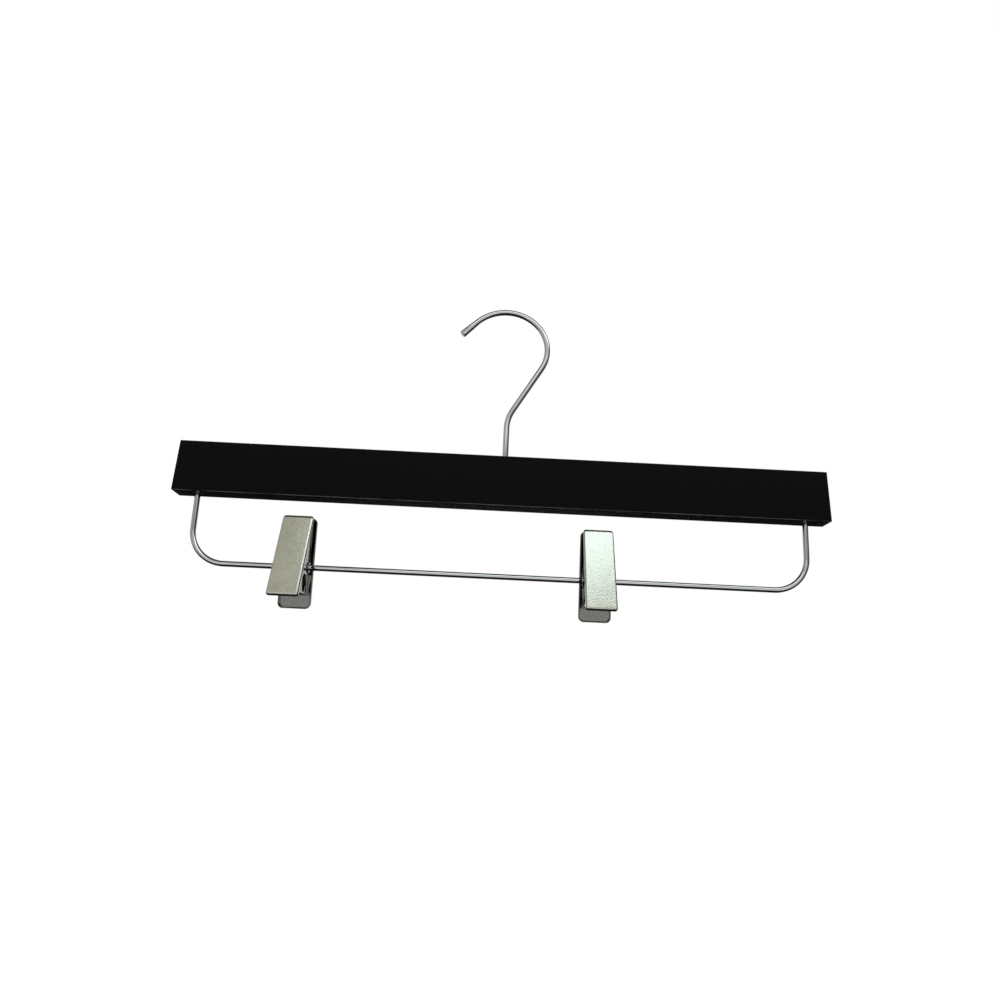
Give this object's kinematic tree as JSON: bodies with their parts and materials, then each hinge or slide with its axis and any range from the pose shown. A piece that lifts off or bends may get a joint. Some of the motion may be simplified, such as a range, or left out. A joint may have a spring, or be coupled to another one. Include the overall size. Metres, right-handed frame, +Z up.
{
  "type": "trouser hanger",
  "caption": "Black lacquered wooden trouser hanger with a swivelling wire hook and sprung metal clips that slide on a wire rail below the bar.",
  "frame": {"origin": "the point of the hook's inside that bears on a clothes rail, straight above the hook's stem", "axes": "+X along the bar towards its right end seen from the front, +Y from the front of the hanger to its back, +Z up, as the hanger hangs"},
  "size_m": [0.38, 0.029, 0.1948],
  "materials": {
    "lacquered_wood": "black gloss lacquer over fine-grained hardwood",
    "chromed_wire": "bright plated drawn wire",
    "chromed_sheet": "bright plated pressed steel sheet",
    "satin_sheet": "satin nickel plated pressed steel sheet",
    "plain_steel": "turned",
    "spring_steel": "drawn wire",
    "brass": "turned",
    "black_rubber": "matte moulded"
  },
  "bodies": {
    "hook": {"hook_wire": "chromed_wire", "retaining_collar": "plain_steel"},
    "bar": {"wooden_bar": "lacquered_wood", "hook_bush": "brass", "clip_rail": "chromed_wire"},
    "left_slider": {"left_pivot_tube": "chromed_sheet"},
    "left_rear": {"left_rear_cover": "chromed_sheet", "left_rear_lever": "chromed_sheet", "left_rear_pad": "black_rubber", "left_spring": "spring_steel"},
    "left_front": {"left_front_cover": "satin_sheet", "left_front_lever": "chromed_sheet", "left_front_pad": "black_rubber"},
    "right_slider": {"right_pivot_tube": "chromed_sheet"},
    "right_rear": {"right_rear_cover": "chromed_sheet", "right_rear_lever": "chromed_sheet", "right_rear_pad": "black_rubber", "right_spring": "spring_steel"},
    "right_front": {"right_front_cover": "satin_sheet", "right_front_lever": "chromed_sheet", "right_front_pad": "black_rubber"}
  },
  "joints": [
    {"name": "hook_swivel", "type": "hinge", "parent": "hook", "child": "bar", "pos_m": [0, 0, -0.1043], "axis": [0, 0, 1], "continuous": true},
    {"name": "left_slide", "type": "slide", "parent": "bar", "child": "left_slider", "axis": [1, 0, 0], "range_m": [-0.0325, 0.104]},
    {"name": "left_swing", "type": "hinge", "parent": "left_slider", "child": "left_rear", "pos_m": [-0.1154, 0, -0.16911], "axis": [1, 0, 0], "continuous": true},
    {"name": "left_jaw", "type": "hinge", "parent": "left_rear", "child": "left_front", "pos_m": [-0.1154, 0, -0.16911], "axis": [-1, 0, 0], "range_deg": [0, 10.5], "stiffness_Nm_per_rad": 0.4, "springref_deg": -20.05, "deforming": ["left_spring"]},
    {"name": "right_slide", "type": "slide", "parent": "bar", "child": "right_slider", "axis": [1, 0, 0], "range_m": [-0.0435, 0.093]},
    {"name": "right_swing", "type": "hinge", "parent": "right_slider", "child": "right_rear", "pos_m": [0.0546, 0, -0.16911], "axis": [1, 0, 0], "continuous": true},
    {"name": "right_jaw", "type": "hinge", "parent": "right_rear", "child": "right_front", "pos_m": [0.0546, 0, -0.16911], "axis": [-1, 0, 0], "range_deg": [0, 10.5], "stiffness_Nm_per_rad": 0.4, "springref_deg": -20.05, "deforming": ["right_spring"]}
  ]
}
